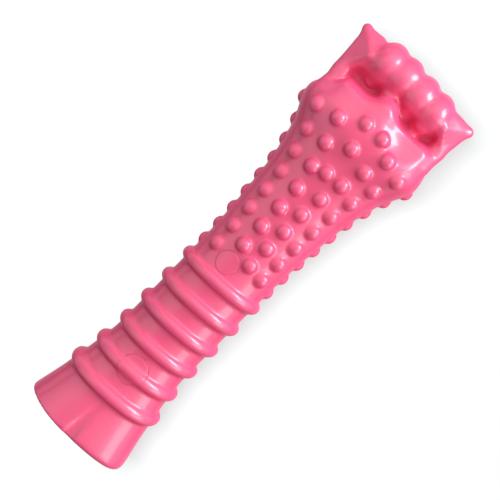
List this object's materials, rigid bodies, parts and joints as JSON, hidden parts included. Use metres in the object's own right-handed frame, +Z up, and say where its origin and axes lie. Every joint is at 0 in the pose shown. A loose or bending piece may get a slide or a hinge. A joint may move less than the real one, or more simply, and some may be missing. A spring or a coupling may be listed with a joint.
{
  "type": "dog chew bone",
  "caption": "Moulded nylon dog chew shaped as a bone: flat flared butt, ribbed grip, studded flare and a knuckle end with a row of toe lobes.",
  "frame": {"origin": "middle of the base of the bounding box, on the floor that the bone lies on", "axes": "+X along the bone from the flat butt to the toe lobes, +Y across it, +Z up"},
  "size_m": [0.1524, 0.0466, 0.0381],
  "materials": {
    "skin_nylon": "glossy moulded nylon, pink right through",
    "plug_nylon": "glossy moulded nylon, pink right through",
    "core_nylon": "plain moulded nylon, undyed"
  },
  "bodies": {
    "root": {"outer_skin": "skin_nylon", "inner_core": "core_nylon", "shaft_plug_top": "plug_nylon", "shaft_plug_bottom": "plug_nylon", "neck_plug_top": "plug_nylon", "neck_plug_bottom": "plug_nylon"}
  },
  "joints": []
}
